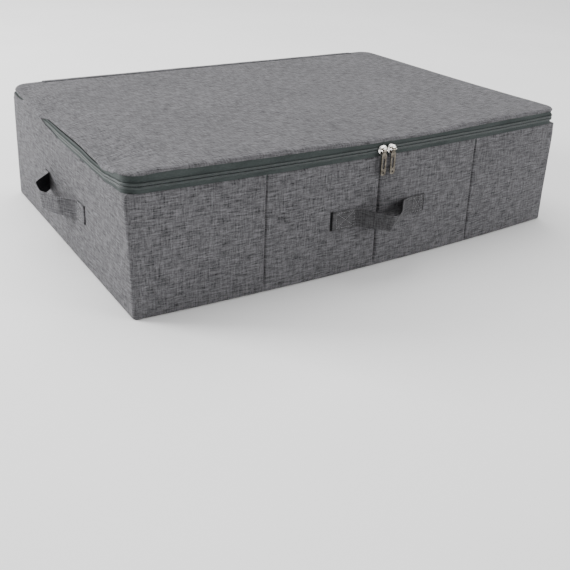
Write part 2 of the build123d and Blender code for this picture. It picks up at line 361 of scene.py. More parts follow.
def linen(name, dark, light, pitch=0.85 * MM):
    """Melange linen-look cloth: dark and light yarns of uneven thickness, woven over and under."""
    f = Finish(name, Sheen_Weight=0.04, Sheen_Roughness=0.5, Specular_IOR_Level=0.1)
    per = 1 / pitch

    def yarns(across, along, *detail):
        """Noise drawn out along the warp, and the same along the weft."""
        ways = ((across, along), (along, across))
        return [f.noise(f.weave_at(per * u, per * v), 1.0, *detail) for u, v in ways]

    warp, weft = yarns(1, 0.035, 3.0, 0.6)
    over_u, over_v = (f.math("SINE", way) for way in f.threads(per * math.pi))
    both = f.math("MULTIPLY", over_u, over_v)
    over = f.math("MULTIPLY_ADD", both, 0.5, 0.5)
    crossing = f.node("Mix", i0=over, i2=warp, i3=weft).outputs[0]
    fleck = f.noise(f.weave_at(per * 0.40, per * 0.40), 1.0, 3.0, 0.7)
    patch = f.noise(f.weave_at(9.0, 9.0), 1.0, 3.0)
    tone = f.math("MULTIPLY", crossing, 0.20)
    parts = (*yarns(0.55, 0.06), *yarns(0.30, 0.045), fleck, patch)
    for part, share in zip(parts, (0.22, 0.28, 0.14, 0.22, 0.26, 0.06)):
        tone = f.math("MULTIPLY_ADD", part, share, tone)
    middle, reach = 0.69, 0.13
    f.colours(tone, middle - reach, dark, middle + reach, light)
    f.rough(crossing, 0.78, 1.0)
    f.bump(f.math("MULTIPLY_ADD", f.math("ABSOLUTE", both), 0.5, crossing), 0.35 * MM, 0.55)
    return f.material


def woven_tape(name, dark, light):
    """Fine close-woven polyester tape with a narrow herringbone rib."""
    f = Finish(name, Sheen_Weight=0.02, Sheen_Roughness=0.4, Specular_IOR_Level=0.15)
    u, v = f.threads(1.0)
    rib = f.wave(v, 1.1 * MM)
    twill = f.wave(f.math("MULTIPLY_ADD", v, 1.6, u), 0.7 * MM)
    yarn = f.noise(f.weave_at(350.0, 1200.0))
    wear = f.noise(f.weave_at(22.0, 60.0), 1.0, 3.0)
    tone = f.math("MULTIPLY_ADD", wear, 0.55, f.math("MULTIPLY", yarn, 0.45))
    f.colours(tone, 0.34, dark, 0.66, light)
    f.rough(yarn, 0.55, 0.85)
    f.bump(f.math("MULTIPLY_ADD", twill, 0.5, rib), 0.12 * MM, 0.5)
    return f.material


def nylon(name, dark, light):
    """Moulded nylon of the zip's coils."""
    f = Finish(name, Specular_IOR_Level=0.25)
    tone = f.noise(f.weave_at(160.0, 500.0), 1.0, 3.0)
    f.colours(tone, 0.3, dark, 0.7, light)
    f.rough(tone, 0.35, 0.55)
    f.bump(f.noise(f.weave_at(2500.0, 900.0)), 0.05 * MM, 0.4)
    return f.material


def nickel(name, dark, light):
    """Bright nickel plate with faint polishing lines and rubbed spots."""
    f = Finish(name, Metallic=1.0)
    spot = f.node("TexCoord").outputs["Object"]
    cloud = f.noise(spot, 260.0, 3.0)
    lines = f.noise(f.scaled(spot, 300.0, 300.0, 4200.0))
    f.colours(cloud, 0.3, dark, 0.65, light)
    f.rough(f.math("MULTIPLY", cloud, lines), 0.10, 0.38)
    f.bump(lines, 0.02 * MM, 0.25)
    return f.material


def felt(name, dark, light):
    """Thin non-woven lining, pressed with a fine pattern of dimples."""
    f = Finish(name, Sheen_Weight=0.1, Sheen_Roughness=0.5, Specular_IOR_Level=0.2)
    dots = f.node("TexVoronoi", Vector=f.weave_at(620.0, 620.0), Scale=1.0, Randomness=0.25).outputs[0]
    fibre = f.noise(f.weave_at(900.0, 700.0), 1.0, 4.0, 0.7)
    cloud = f.noise(f.weave_at(14.0, 14.0), 1.0, 3.0)
    tone = f.math("MULTIPLY_ADD", fibre, 0.8, f.math("MULTIPLY", cloud, 0.2))
    f.colours(tone, 0.34, dark, 0.66, light)
    f.rough(fibre, 0.8, 1.0)
    f.bump(f.math("MULTIPLY_ADD", fibre, 0.4, dots), 0.15 * MM, 0.5)
    return f.material


def fibreboard(name):
    """Brown pressed fibreboard."""
    f = Finish(name, Specular_IOR_Level=0.25)
    spot = f.node("TexCoord").outputs["Object"]
    grain = f.noise(spot, 700.0, 5.0, 0.7)
    cloud = f.noise(spot, 30.0, 3.0)
    tone = f.math("MULTIPLY_ADD", grain, 0.6, f.math("MULTIPLY", cloud, 0.4))
    f.colours(tone, 0.35, (0.16, 0.13, 0.10), 0.65, (0.30, 0.26, 0.20))
    f.rough(grain, 0.75, 0.95)
    f.bump(grain, 0.1 * MM, 0.4)
    return f.material


def yarn(name, dark, light):
    """Twisted polyester sewing thread."""
    f = Finish(name, Sheen_Weight=0.3, Sheen_Roughness=0.3, Specular_IOR_Level=0.4)
    twist = f.wave(f.math("ADD", *f.threads(1.0)), 0.35 * MM)
    tone = f.noise(f.weave_at(180.0, 900.0))
    f.colours(tone, 0.3, dark, 0.7, light)
    f.rough(tone, 0.5, 0.75)
    f.bump(twist, 0.05 * MM, 0.6)
    return f.material


cloth = linen("linen_cloth", (0.016, 0.0160, 0.0175), (0.180, 0.177, 0.187))
# A darker copy of the wall's linen for the front strap: its extra darkness is painted shade of the dim front
# side.
front_strap_painted_shade = linen("linen_front_strap_painted_shade", (0.011, 0.0112, 0.012), (0.130, 0.128, 0.134), 0.8 * MM)
# Near-black woven tape: on the straps' inner faces, and as painted shade on the strap tails behind the slits
# and on the zip tape's faces turned in under the lid's lifted edge.
near_black_and_painted_shade = woven_tape("near_black_and_painted_shade_tape", (0.006, 0.006, 0.007), (0.016, 0.016, 0.018))
tape_cloth = woven_tape("zip_tape_weave", (0.025, 0.032, 0.031), (0.056, 0.067, 0.065))
coil_nylon = nylon("coil_nylon", (0.024, 0.030, 0.030), (0.050, 0.059, 0.058))
bright = nickel("nickel_plate", (0.74, 0.72, 0.68), (0.93, 0.92, 0.90))
# The pulls' metal: a warm bronze tint of its own, darkened far below plated metal as painted dark reflection.
pull_metal_painted_dark_reflection = nickel("nickel_pull_painted_dark_reflection", (0.062, 0.054, 0.043), (0.18, 0.163, 0.138))
lining_felt = felt("lining_felt", (0.16, 0.16, 0.165), (0.32, 0.32, 0.33))
board_fibre = fibreboard("board_fibre")
thread = yarn("sewing_thread", (0.16, 0.16, 0.165), (0.34, 0.34, 0.35))

# ---- walls ----
SEAM_TURN = 0.6  # where on a corner's turn a side's cloth ends and the front's or back's begins
CREASES = [-SECTION, 0.0, SECTION]
SLITS = handles((-68.5 * MM, 75.0 * MM), (-76.0 * MM, 76.0 * MM))
HANDLE_Z = {side: sum(corner[2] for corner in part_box(f"{side}_handle_loop")) / 2 for side in SLITS}
STRAP_HALF = 12.25 * MM
SLIT_HALF = STRAP_HALF + 0.2 * MM
# each slit gapes away from its strap, which comes out along the slit's inner edge
STRAP_SIDE, NEAR_GAP, FAR_GAP = 0.9 * MM, 4.1 * MM, 2.4 * MM
SLIT_SPANS = {
    wall: ((near - NEAR_GAP, near + STRAP_SIDE), (far - STRAP_SIDE, far + FAR_GAP))
    for wall, (near, far) in SLITS.items()
}
TIGHT, LOOSENED, OPENED = 5 * MM, 3 * MM, 12 * MM  # a corner's radius, and its two gains
LOOSE_FROM = 128 * MM


def wall_radius(z):
    """The corners are tight over the boards and open out towards the zip's round corner at the top."""
    loosened = LOOSENED * smooth(z, LOOSE_FROM, WALL_TOP)
    return TIGHT + loosened + OPENED * smooth(z, WALL_TOP + 0.1 * MM, WALL_TOP + 6 * MM)


# height of the cloth's top edge along the left wall, which has ridden up over the zip
LEFT_RISE = [(-225, 149), (15, 149), (55, 153), (82, 162), (100, 166), (157, 166), (185, 161), (225, 160)]


def wall_top(station):
    """Height of the cloth's top edge."""
    wall, along, turn = station
    x, y, _, _ = plan(station)
    if wall == "back" and turn is None and abs(along) < TONGUE_HALF:
        return TONGUE_TOP
    rise = follow(LEFT_RISE, y / MM) * MM - WALL_TOP
    return WALL_TOP + rise * (1 - smooth(x, -HALF_X + 4 * MM, -HALF_X + ZONE))


PUCKER, PUCKER_WIDE, PUCKER_TALL = 0.7 * MM, 7 * MM, 19 * MM


def slit_pucker(wall, c, z):
    """The cloth pulls up a little round the slits."""
    total = 0.0
    for slit in SLITS[wall]:
        d = (c - slit) / PUCKER_WIDE
        h = (z - HANDLE_Z[wall]) / PUCKER_TALL
        total += PUCKER * math.exp(-d * d - h * h)
    return total


# where a strap's sewn ends lie along a wall, and how far above and below the strap's middle they press
STRAP_ZONES = handles(((-74, -30), (50, 80)), ((-82, -44), (57, 82)))
PRESS_HALF = 14


def pressed(wall, c, z):
    """1 where a strap's sewn end holds the cloth flat against its board."""
    band = window(z / MM, HANDLE_Z[wall] / MM - PRESS_HALF, HANDLE_Z[wall] / MM + PRESS_HALF, 6)
    return band * sum(window(c / MM, low, high, 7) for low, high in STRAP_ZONES[wall])


WALL_WAVES = ((0.45 * MM, 70 * MM, 3.1), (0.18 * MM, 23 * MM, 8.7))  # height, size and seed
BOTTOM_EASE, TOP_EASE = 14 * MM, 10 * MM  # the waves fade out over this much of a wall's ends
PANEL_SWELL, PANEL_REACH = 0.9 * MM, 13 * MM  # each panel's swell between two creases
CREASE, FRONT_CREASE = (1.1 * MM, 2.0 * MM), (1.5 * MM, 2.9 * MM)  # half width and depth
CREASE_REACH = 8 * MM
END_SWELL = 0.7 * MM
SEAM_DEPTH, SEAM_WIDTH = 0.55 * MM, 0.035  # the corner seams' groove, its width as a share of the turn
HOLLOW_AT, HOLLOW_WIDTH, HOLLOW_DEPTH = -24 * MM, 9 * MM, 0.9 * MM  # beside the front's middle crease


def wall_relief(station, z):
    """How far the cloth stands out of its flat wall."""
    wall, along, turn = station
    x, y, _, _ = plan(station, wall_radius(z))
    edge = smooth(z, 0, BOTTOM_EASE) * (1 - smooth(z, WALL_TOP - TOP_EASE, WALL_TOP))
    out = sum(height * ripple(x, y, z, size, seed) * edge for height, size, seed in WALL_WAVES)
    if turn is None and wall in LONG:
        near = abs(along - SECTION * round(along / SECTION))
        out += PANEL_SWELL * (1 - math.exp(-near / PANEL_REACH)) * (0.35 + 0.65 * edge)
        number = abs(round(along / SECTION))
        if near < CREASE_REACH and number < 2:
            wide, deep = CREASE if number or wall == "back" else FRONT_CREASE
            out -= deep * math.exp(-((near / wide) ** 2)) * smooth(z, 2 * MM, 9 * MM)
    elif turn is None:
        out += END_SWELL * (1 - (abs(along) / HALF_Y) ** 4) * edge
    if turn is not None:
        seam = abs(turn - SEAM_TURN if wall in ("left", "right") else turn - 1 + SEAM_TURN)
        out -= SEAM_DEPTH * math.exp(-((seam / SEAM_WIDTH) ** 2))
    if wall == "front" and turn is None:
        hollow = math.exp(-(((along - HOLLOW_AT) / HOLLOW_WIDTH) ** 2)) * smooth(z, 70 * MM, 130 * MM)
        out -= HOLLOW_DEPTH * hollow * (1 - smooth(z, 140 * MM, WALL_TOP))
    if turn is None and wall in SLITS:
        out = (out + slit_pucker(wall, along, z)) * (1 - pressed(wall, along, z))
    return out


LIP_LINE = [(149, 0), (153, 2.05), (162.5, 2.05), (166, 0.9), (168.5, -1.5)]


def lip_out(z):
    """The outer line of cloth that has ridden up over the coils, leaning in again above them."""
    return follow(LIP_LINE, z / MM) * MM


BOTTOM_ROWS = [(0.0, -2.6), (0.35, -1.5), (1.1, -0.55), (2.6, 0.0)]  # (height, out) round the bottom edge
TOP_ROWS = 9
LOW_ROW, HIGH_ROW, ROW_STEP = 6 * MM, 140 * MM, 4.5 * MM
HEM_IN, HEM_UP = 0.95 * MM, 0.5 * MM  # the wall's top edge turns in onto the tape


def wall_rows(wall):
    """Heights up to the board's top, where the rows start to stretch up to each station's top edge."""
    slit = [HANDLE_Z[wall] - SLIT_HALF, HANDLE_Z[wall] + SLIT_HALF] if wall in SLITS else []
    return spaced(LOW_ROW, HIGH_ROW, ROW_STEP, slit)


def wall_point(station, row, rows):
    if row < len(BOTTOM_ROWS):
        z, out = (v * MM for v in BOTTOM_ROWS[row])
        return place(station, out, z, wall_radius(z)), z
    row -= len(BOTTOM_ROWS)
    if row < len(rows):
        z = rows[row]
    else:
        share = (row - len(rows) + 1) / TOP_ROWS
        z = rows[-1] + (wall_top(station) - rows[-1]) * share
    out = wall_relief(station, min(z, WALL_TOP))
    if z > WALL_TOP and station[0] != "back" or station[2] is not None:
        out += lip_out(z)
    if row == len(rows) + TOP_ROWS - 1 and z < WALL_TOP + 1 * MM:
        return place(station, -HEM_IN, z + HEM_UP), z
    return place(station, out, z, wall_radius(z)), z


def wall_panel(name, wall, stations, nodes):
    rows = wall_rows(wall)
    count = len(BOTTOM_ROWS) + len(rows) + TOP_ROWS
    run = lengths([place(s, 0, 0, TIGHT) for s in stations])
    points, weave = [], []
    for station, s in zip(stations, run):
        for row in range(count):
            point, z = wall_point(station, row, rows)
            points.append(point)
            weave.append((s, z))

    def in_slit(i, j):
        j -= len(BOTTOM_ROWS)
        turned = stations[i][2] is not None or stations[i + 1][2] is not None
        if turned or wall not in SLITS or not 0 <= j < len(rows) - 1:
            return False
        c = (stations[i][1] + stations[i + 1][1]) / 2
        z = (rows[j] + rows[j + 1]) / 2
        return any(a < c < b for a, b in SLIT_SPANS[wall]) and abs(z - HANDLE_Z[wall]) < SLIT_HALF

    piece = thick(name, points, grid_faces(len(stations), count, in_slit), weave, CLOTH, 40)
    return finish_piece(piece, cloth, "box", nodes[:1])


def wall_span(wall, special=()):
    half = (HALF_X if wall in LONG else HALF_Y) - ZONE
    return straight_run(wall, -half, half, 5 * MM, special)


def beside(centres, offsets):
    return [c + o * MM for c in centres for o in offsets]


def boards(wall):
    return [f"{wall}_board_{k}" for k in range(1, 5)] if wall in LONG else [f"{wall}_board"]


TURNS = 20
seam_k = round(SEAM_TURN * TURNS)
crease_marks = beside(CREASES, (-6, -4, -2.6, -1.8, -1.1, -0.5, 0, 0.5, 1.1, 1.8, 2.6, 4, 6))
slit_marks = {wall: [*near, *far] + beside(SLITS[wall], (-6, 6)) for wall, (near, far) in SLIT_SPANS.items()}
marks = {
    "front": crease_marks + slit_marks["front"],
    "right": slit_marks["right"],
    "back": crease_marks + beside((-TONGUE_HALF, TONGUE_HALF), (-0.3, 0.3)),
    "left": slit_marks["left"],
}
before = "left"
for wall, special in marks.items():
    first, last = (seam_k, TURNS - seam_k) if wall in LONG else (TURNS - seam_k, seam_k)
    stations = corner_run(before, TURNS, first) + wall_span(wall, special) + corner_run(wall, TURNS, 0, last)
    wall_panel(f"{wall}_panel", wall, stations, [f"{wall}_cloth"] + boards(wall))
    before = wall

# ---- lid ----
EDGE = 5 * MM  # the flat part of the lid ends this far in from the wall line
# heights of the lid's front edge along the box, and of its hem's lower edge
FRONT_EDGE = [(-325, 172.6), (-291, 173.8), (-246, 174.4), (-120, 174.4), (0, 171.0), (60, 169.8)]
FRONT_EDGE += [(204, 173.0), (266, 172.0), (325, 171.2)]
FRONT_HEM = [(-325, 169.6), (-246, 170.6), (-120, 169.8), (0, 167.2), (60, 166.6), (204, 167.8), (325, 167.4)]
HEM_Z = 165.4 * MM  # the hem's lower edge away from the front
HIDDEN, HIDDEN_DROP = (80, 148), 3.5 * MM  # where on the left the lid's cloth hangs over the zip, how far
GAPED, EDGE_LIFT, HEM_LIFT = (-120, 45), 2.2 * MM, 4.2 * MM  # where on the left the lid's edge lifts, how far
FRONT_GAPED, FRONT_GAPE = (-292, -270), 0.22
GAPE_FULL, GAPE_GONE = 8 * MM, 50 * MM  # in from the lid's edge
LID_SAG, SAG_REACH = 2.2 * MM, 110
# the lid's waves: height, size, seed, and how far in from its edge they are full
LID_WAVES = ((1.5 * MM, 150 * MM, 2.3, 45), (0.7 * MM, 62 * MM, 5.9, 22))


def lid_rest(x, y):
    """Height of the lid's cloth before the left side's sinking."""
    front = follow(FRONT_EDGE, x / MM) * MM
    rise = (front - TOP) * smooth((HALF_Y - y) / (2 * HALF_Y), 0.45, 1.0)
    inside = min(HALF_X - abs(x), HALF_Y - abs(y)) / MM
    z = TOP + rise + 0.4 * MM
    for height, size, seed, grown in LID_WAVES:
        z += height * ripple(x, y, 0, size, seed) * smooth(inside, 0, grown)
    z += 0.22 * MM * ripple(x, y * 0.6, 0, 24 * MM, 9.4)
    return z - LID_SAG * smooth(inside, 0, SAG_REACH) + EDGE_LIFT * gape(x, y)


def gape(x, y):
    """1 where the lid's edge lifts off the tape and leaves a dark gap."""
    left = window(y / MM, *GAPED, 30) * (1 - smooth(x, -HALF_X + GAPE_FULL, -HALF_X + GAPE_GONE))
    front = window(x / MM, *FRONT_GAPED, 12) * (1 - smooth(y, -HALF_Y + GAPE_FULL, -HALF_Y + GAPE_GONE))
    return max(left, FRONT_GAPE * front)


def hidden(x, y):
    """1 where the lid's cloth hangs over the zip."""
    return window(y / MM, *HIDDEN, 16) if x < -HALF_X + 24 * MM else 0.0


def hem_low(x, y):
    """Height of the lid hem's lower edge."""
    front = smooth(-y, HALF_Y - 70 * MM, HALF_Y - 12 * MM)
    low = HEM_Z + (follow(FRONT_HEM, x / MM) * MM - HEM_Z) * front
    return low - HIDDEN_DROP * hidden(x, y) + HEM_LIFT * gape(x, y)


def square_to_round(x, y, half_x, half_y, radius):
    """Move a point of a rectangle's grid so that the rectangle's corners become round."""
    a = (abs(x) - half_x + radius) / radius
    b = (abs(y) - half_y + radius) / radius
    if a <= 0 or b <= 0:
        return x, y
    rx, ry = a * math.sqrt(1 - b * b / 2), b * math.sqrt(1 - a * a / 2)
    return math.copysign(half_x - radius + radius * rx, x), math.copysign(half_y - radius + radius * ry, y)


def lid_grid(inset, step, special=()):
    """Points of the lid's flat part, its quads, and its rim in order with outward directions."""
    half_x, half_y, radius = HALF_X - inset, HALF_Y - inset, ZONE - inset
    marks = [radius - half_x, half_x - radius, *special]
    xs = spaced(-half_x, half_x, step, marks + [-half_x + 4 * MM, half_x - 4 * MM])
    ys = spaced(-half_y, half_y, step, [radius - half_y, half_y - radius])
    points = [square_to_round(x, y, half_x, half_y, radius) for x in xs for y in ys]
    n, m = len(xs), len(ys)
    rim = [(i, 0) for i in range(n)] + [(n - 1, j) for j in range(1, m)]
    rim += [(i, m - 1) for i in range(n - 2, -1, -1)] + [(0, j) for j in range(m - 2, 0, -1)]
    ring = []
    for i, j in rim:
        x, y = points[i * m + j]
        dx = max(abs(x) - half_x + radius, 0) * math.copysign(1, x)
        dy = max(abs(y) - half_y + radius, 0) * math.copysign(1, y)
        size = math.hypot(dx, dy)
        ring.append((i * m + j, dx / size, dy / size))
    return points, grid_faces(n, m), ring


HINGED_ROWS = [(3.6, 0.35)]  # the lid's rim at the hinge, as (from the wall line in, share of the way down)
HEM_ROWS = [(3.4, 0.05), (1.6, 0.22), (0.5, 0.45), (0.0, 0.68), (0.05, 0.9), (0.4, 1.0)]  # and elsewhere
hinge_low = HALF_Y - 2 * EDGE
notch = TONGUE_HALF + 1.3 * MM
flat_points, lid_faces, ring = lid_grid(EDGE, 5 * MM, (-notch - 0.3 * MM, -notch, notch, notch + 0.3 * MM))
lid_points = [Vector((x, y, lid_rest(x, y))) for x, y in flat_points]
lid_weave = list(flat_points)
rows_of = []
for index, nx, ny in ring:
    x, y = flat_points[index]
    hinged = y > hinge_low and abs(x) < notch + 0.1 * MM and ny > 0.9
    top = lid_rest(x, y)
    tall = top - hem_low(x, y)
    back = -3.1 * MM * hidden(x, y)
    rows = [index]
    for k, (inset, down) in enumerate(HINGED_ROWS if hinged else HEM_ROWS):
        into = inset * MM + back * (1 if k > 1 else 0.6)
        z = top - 0.9 * MM if hinged else top - tall * down
        px, py = x + nx * (EDGE - into), y + ny * (EDGE - into)
        rows.append(len(lid_points))
        lid_points.append(Vector((px, py, z)))
        reach = EDGE - into + tall * down
        lid_weave.append((x + nx * reach, y + ny * reach))
    rows_of.append(rows)
for a, b in zip(rows_of, rows_of[1:] + rows_of[:1]):
    for k in range(min(len(a), len(b)) - 1):
        lid_faces.append((b[k], a[k], a[k + 1], b[k + 1]))
lid_points = [settle(Vector((p.x, bowed(p.x, p.y), p.z))) for p in lid_points]
lid = thick("lid_sheet", lid_points, lid_faces, lid_weave, CLOTH, 60)
finish_piece(lid, cloth, "lid", ["lid_cloth"])

under, under_faces, _ = lid_grid(3.2 * MM, 9 * MM)
under_points = []
for x, y in under:
    near_back = smooth(y, HALF_Y - 12 * MM, HALF_Y - 4 * MM)
    z = lid_rest(x, y) - 1.5 * MM - 0.4 * MM * near_back
    y = min(y, HALF_Y - 5 * MM) if abs(x) < notch else y
    under_points.append(settle(Vector((x, bowed(x, y), z))))
lid_under = thick("lid_lining_sheet", under_points, flipped(under_faces), under, LINING)
finish_piece(lid_under, lining_felt, "lid", ["lid_lining"])


# ---- zip ----
LIFT_GAIN = 1.6  # the tape's own lift is full before the edge's is
LIFTED_TOP, COVERED_TOP = 165.9 * MM, 166.2 * MM  # its top under the lifted edge, and behind the cloth


def tape_lift(station):
    """How far the tape follows the lid's lifted edge, from 0 to 1."""
    return min(gape(*plan(station)[:2]) * LIFT_GAIN, 1.0)


def tape_top(station):
    """Height of the upper tape's top edge, just under the lid's hem."""
    x, y, _, _ = plan(station)
    top = min(hem_low(x, y) + 3 * MM, lid_rest(x, y) - 1.6 * MM)
    top += (LIFTED_TOP - top) * tape_lift(station)
    covered = smooth(wall_top(station), WALL_TOP, 160 * MM)
    return top + (min(top, COVERED_TOP) - top) * covered


def upper_tape(station, _run):
    """The tape's section. Where the lid's edge lifts, its top turns in to meet the lid further back."""
    top = tape_top(station)
    low = ZIP_Z + 2 * MM
    x, y, nx, ny = plan(station)
    g = tape_lift(station)
    high = top + max(lid_rest(x - nx * 9 * MM, y - ny * 9 * MM) - 1.7 * MM - top, 0.0) * g
    face = [(-1.1, low), (-1.05, low + 2.2 * MM), (-1.25, low + 3.4 * MM)]
    face += [(-1.1, top - 0.3 * MM), (-1.3, top)]
    turned = [(-1.7 - 5.5 * g, top), (-1.9 - 7.0 * g, high - 0.3 * MM), (-1.9 - 7.3 * g, high - 0.6 * MM)]
    back = [(-1.9 - 5.6 * g, top - (0.9 - 0.2 * g) * MM), (-1.9, top - (1.2 - 0.4 * g) * MM), (-1.9, low)]
    return [(out * MM, z) for out, z in face + turned + back]


def lower_tape(_station, _run):
    low, top = TAPE_LOW, ZIP_Z - 2 * MM
    face = [(-1.1, low), (-1.1, low + 6 * MM), (-1.25, top - 3.2 * MM), (-1.05, top - 2 * MM), (-1.1, top)]
    back = [(-1.9, top), (-1.9, low + 1 * MM), (-1.7, low)]
    return [(out * MM, z) for out, z in face + back]


COIL_PITCH = 1.5 * MM
COIL_OUT, COIL_UP, COIL_OFFSET = 0.88 * MM, 1.88 * MM, 1.93 * MM  # a row's half widths and its middle


def coil_row(side):
    """One row of coils: an oval ridge whose ribs lean towards the row that it meets."""
    middle = ZIP_Z + side * COIL_OFFSET

    def section(_station, s):
        loop = []
        for k in range(10):
            angle = 2 * math.pi * k / 10
            rib = 0.5 + 0.5 * math.cos(2 * math.pi * s / COIL_PITCH + side * 1.2 * math.sin(angle))
            size = 0.86 + 0.14 * rib
            out, up = COIL_OUT * math.cos(angle) * size, COIL_UP * math.sin(angle) * size
            loop.append((-0.1 * MM + out, middle - up))
        return loop

    return section


tape_stations, coil_stations = zip_run(6 * MM), zip_run(0.45 * MM)
lower = swept("lower_tape", tape_stations, lower_tape)
finish_piece(lower, tape_cloth, "box", ["lower_zip_tape"])
upper = swept("upper_tape", tape_stations, upper_tape)
finish_piece(upper, tape_cloth, "lid", ["upper_zip_tape"])
# The tape's faces that turn in under the lid's lifted edge take the near-black finish: painted shadow of the
# gap beneath that edge.
upper.data.materials.append(near_black_and_painted_shade)
sides = len(upper_tape(tape_stations[0], 0))
TURNED = (4, 5, 6)  # the section's sides that turn in under the lid's lifted edge
for k, polygon in enumerate(upper.data.polygons[: sides * (len(tape_stations) - 1)]):
    lifted = gape(*plan(tape_stations[k // sides])[:2]) > 0.05
    polygon.material_index = 1 if lifted and k % sides in TURNED else 0
for name, side, body in (("lower", -1, "box"), ("upper", 1, "lid")):
    row = swept(f"{name}_coil_row", coil_stations, coil_row(side))
    finish_piece(row, coil_nylon, body, [f"{name}_zip_coil"])


# ---- hinge: one strip of cloth folded over the seam along the back ----
HINGE_LINE = [(225.75, 157.6), (225.85, 158.4), (225.9, 161), (225.9, 164), (225.8, 166.4), (225.3, 168.3)]
HINGE_LINE += [(224.3, 169.5), (222.8, 170.4), (221, 170.9), (218.5, 171.1), (215.5, 171.1)]
HINGE_LINE += [(213.2, 171.0), (212.6, 170.6)]
strip_x = spaced(-TONGUE_HALF - 0.7 * MM, TONGUE_HALF + 0.7 * MM, 5 * MM)
line = [Vector((0, y * MM, z * MM)) for y, z in HINGE_LINE]
over = lengths(line)
points, weave = [], []
for x in strip_x:
    for k, p in enumerate(line):
        lift = 0.2 * MM * ripple(x, p.y, p.z, 30 * MM, 4.4)
        top = (lid_rest(x, 215 * MM) - TOP) * smooth(-p.y, -224 * MM, -216 * MM)
        points.append(Vector((x, p.y + lift * (k < 6), p.z + lift * (k > 6) + top)))
        weave.append((x, over[k]))
faces = flipped(grid_faces(len(strip_x), len(line)))
strip = thick("hinge_strip", points, faces, weave, 0.6 * MM, 50)
finish_piece(strip, cloth, None, ["back_seam_welt"])
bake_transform(strip)

TAB, TAB_PUFF = 1.4 * MM, 0.9 * MM
for side, sign in (("left", -1), ("right", 1)):
    low, high = (list(corner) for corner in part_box(f"zip_end_{side}"))
    low[0] -= TAB_GROWTH * (sign > 0)
    high[0] += TAB_GROWTH * (sign < 0)
    points, weave = [], []
    tab_x = spaced(low[0], high[0], 1.0 * MM)
    tab_z = spaced(low[2], high[2], 1.5 * MM)
    for x in tab_x:
        for z in tab_z:
            a = 2 * (x - low[0]) / (high[0] - low[0]) - 1
            b = 2 * (z - low[2]) / (high[2] - low[2]) - 1
            puff = (1 - a**6) * (1 - b**6)
            points.append(Vector((x, high[1] - TAB_PUFF + TAB_PUFF * puff, z)))
            weave.append((x, z))
    faces = flipped(grid_faces(len(tab_x), len(tab_z)))
    tab = thick(f"zip_tab_{side}", points, faces, weave, TAB)
    finish_piece(tab, tape_cloth, "box", [f"zip_end_{side}"])

# ---- inside and underside ----
base_points, base_faces, _ = lid_grid(2.4 * MM, 12 * MM)
base_sheet = []
for x, y in base_points:
    wave = 0.12 * MM * (1 + ripple(x, y, 0, 60 * MM, 1.7))
    base_sheet.append(Vector((x, bowed(x, y), 0.15 * MM + wave)))
base = thick("base_panel", base_sheet, flipped(base_faces), base_points, 0.7 * MM)
finish_piece(base, cloth, "box", ["base_cloth"])

floor_points, floor_faces, _ = lid_grid(4.5 * MM, 12 * MM)
floor_sheet = [Vector((x, bowed(x, y), 1.55 * MM)) for x, y in floor_points]
floor_lining = thick("base_lining_sheet", floor_sheet, floor_faces, floor_points, LINING)
finish_piece(floor_lining, lining_felt, "box", ["base_lining"])

LINING_IN, LINING_STEP = 5.9 * MM, 2.6 * MM  # in from the wall line, and back out again over the boards
for wall in ("front", "back", "left", "right"):
    low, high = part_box(f"{wall}_lining")
    reach, end = (high[0], HALF_X) if wall in LONG else (high[1], HALF_Y)
    half = min(reach - 0.5 * MM, end - 9 * MM)
    ends = spaced(-half, half, 6 * MM)
    heights = spaced(low[2], LINING_TOP + 3 * MM, 6 * MM)
    ux, uy = HEADINGS[wall]
    far = HALF_Y if ux else HALF_X
    points, weave = [], []
    for c in ends:
        for z in heights:
            wave = 0.5 * MM * (ripple(c, far, z, 60 * MM, 6.1) + 0.6) * smooth(z, low[2], 20 * MM)
            inside = LINING_IN + wave - LINING_STEP * smooth(z, BOARD_TOP - 2 * MM, BOARD_TOP + 3 * MM)
            x, y = ux * c + uy * (far - inside), uy * c - ux * (far - inside)
            points.append(Vector((x, bowed(x, y), z)))
            weave.append((c, z))
    faces = flipped(grid_faces(len(ends), len(heights)))
    sheet = thick(f"{wall}_lining_sheet", points, faces, weave, LINING)
    finish_piece(sheet, lining_felt, "box", [f"{wall}_lining"])

# ---- the base board's sleeve: a soft flat bag with a seam round its edge ----
low, high = (Vector(v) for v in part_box("base_board_sleeve"))
half_x, half_y, mid_z, half_z = high.x, high.y, (low.z + high.z) / 2, (high.z - low.z) / 2
across, deep = (spaced(-half, half, 9 * MM, beside((-half, half), (-3, 3))) for half in (half_x, half_y))
points, weave = [], []
for sign in (1, -1):
    for x in across:
        for y in deep:
            rim = min(half_x - abs(x), half_y - abs(y))
            fat = math.sqrt(min(rim / (2.2 * MM), 1.0)) if rim > 0 else 0.0
            wave = 0.12 * MM * (ripple(x, y, sign, 45 * MM, 7.7) - 1) * min(rim / (20 * MM), 1)
            points.append(Vector((x, y, mid_z + sign * (fat * half_z + wave * (sign > 0)))))
            weave.append((x, y * sign))
n, m = len(across), len(deep)
upper_faces = grid_faces(n, m)
lower_faces = [tuple(v + n * m for v in f) for f in flipped(upper_faces)]
sleeve = make("board_sleeve_cover", points, upper_faces + lower_faces, weave)
bm = bmesh.new()
bm.from_mesh(sleeve.data)
bmesh.ops.remove_doubles(bm, verts=bm.verts, dist=0.02 * MM)
bm.to_mesh(sleeve.data)
bm.free()
finish_piece(sleeve, lining_felt, "base_board", ["base_board_sleeve"])


# ---- handles ----
STRAP = 1.6 * MM
STRAP_OUT = 0.95  # the middle of a strap's sewn end stands this far out, in millimetres
LOOPS = handles(
    [(-34.0, 0.0), (-18.0, 19.5), (-3.0, 37.5), (39.0, 4.0), (56.0, 0.0)],
    [(-50.0, 0.0), (-28.0, 17.0), (2.0, 29.0), (34.0, 26.0), (62.0, 0.0)],
)
FOLDS = handles(5, 11)
INSIDE = 1.9  # the strap's tails lie this far inside the wall's face
TAIL = 20.0


